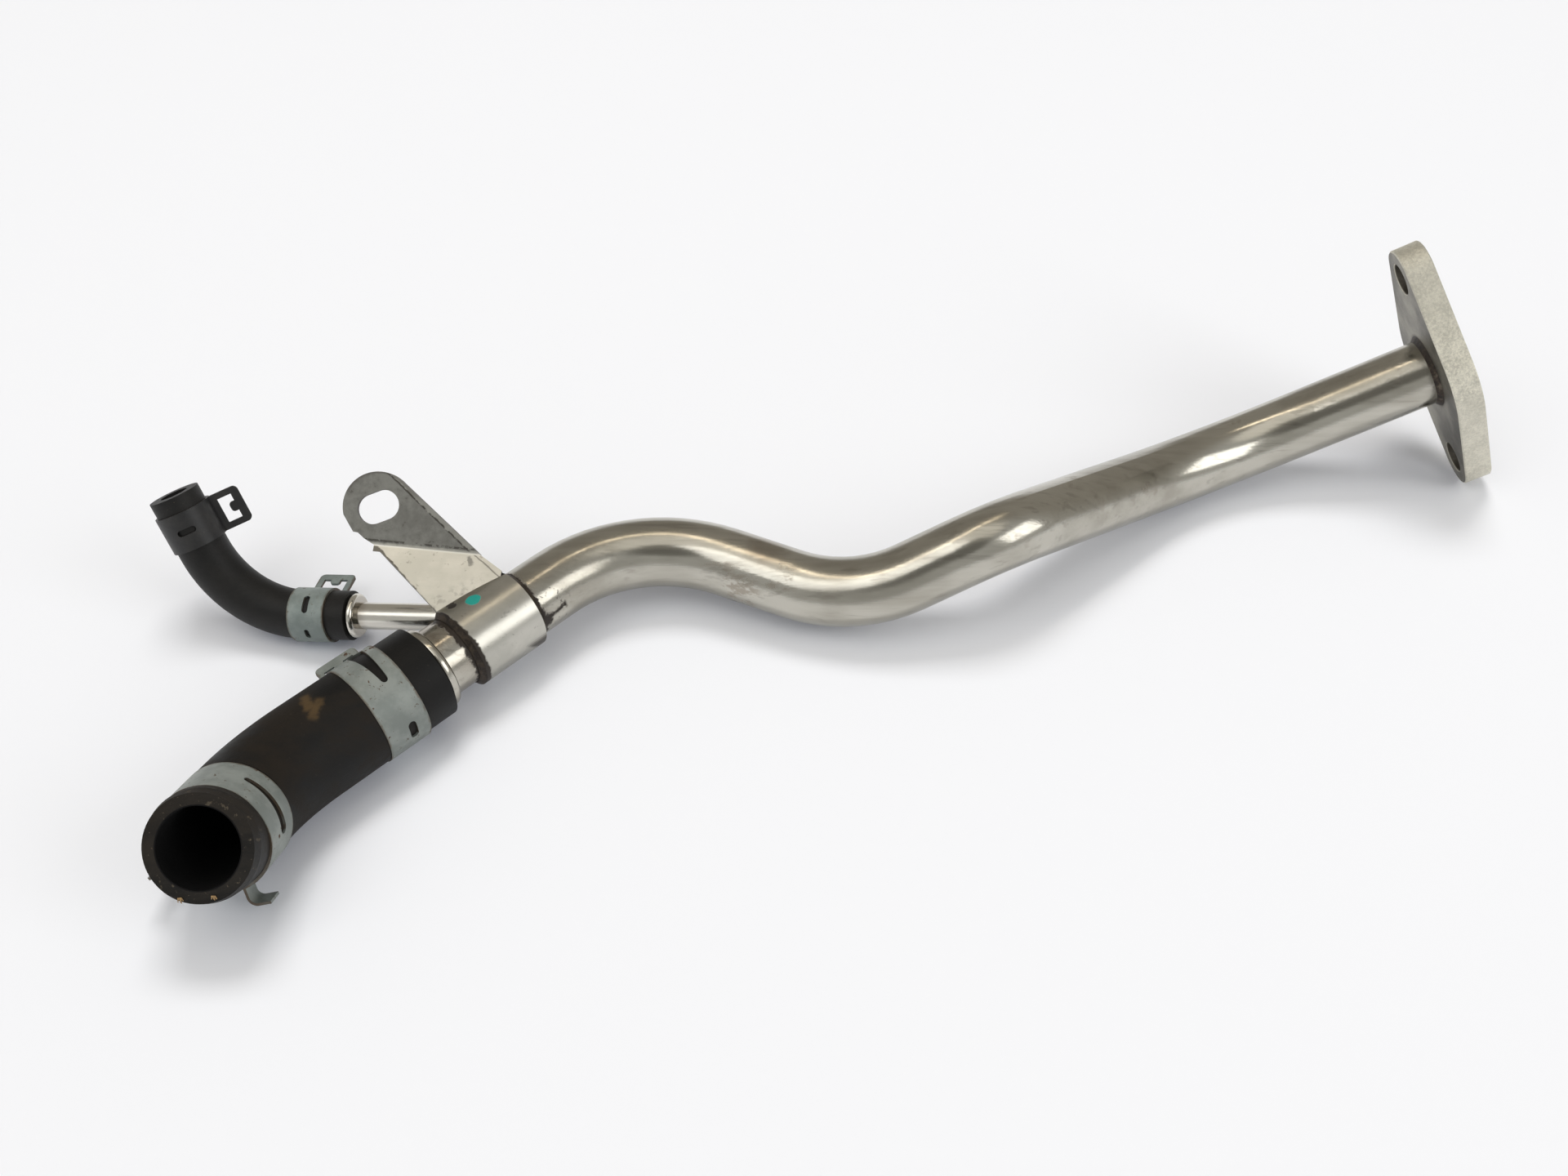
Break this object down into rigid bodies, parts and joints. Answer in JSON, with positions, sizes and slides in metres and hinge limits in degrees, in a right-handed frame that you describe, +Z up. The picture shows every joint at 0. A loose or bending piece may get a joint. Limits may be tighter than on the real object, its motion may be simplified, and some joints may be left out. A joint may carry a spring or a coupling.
{
  "type": "coolant pipe",
  "caption": "Bent steel coolant pipe with a bolt flange, a folded slotted bracket, a thin branch tube and two rubber hoses on spring clamps.",
  "frame": {"origin": "on the floor under the middle of the pipe's bounding box, as it lies at rest", "axes": "+X along the pipe from the hoses to the flange, +Y away from the side the large hose mouth faces, +Z up"},
  "size_m": [0.4418, 0.2196, 0.0818],
  "materials": {
    "satin_steel": "satin, stained by braze heat",
    "bracket_steel": "satin, duller on the lobe",
    "flange_steel": "shot blasted",
    "braze": "dark scorched braze",
    "hose_rubber": "matt, dusty",
    "zinc_clamp": "zinc flake coat",
    "black_clamp": "black coat"
  },
  "bodies": {
    "root": {"main_pipe": "satin_steel", "branch_pipe": "satin_steel", "bracket": "bracket_steel", "flange": "flange_steel", "flange_braze": "braze", "branch_braze": "braze", "bracket_braze_hose_side": "braze", "bracket_braze_pipe_side": "braze", "large_hose": "hose_rubber", "small_hose": "hose_rubber", "large_clamp_on_pipe": "zinc_clamp", "large_clamp_on_mouth": "zinc_clamp", "small_clamp_on_branch": "zinc_clamp", "small_clamp_on_end": "black_clamp"}
  },
  "joints": []
}
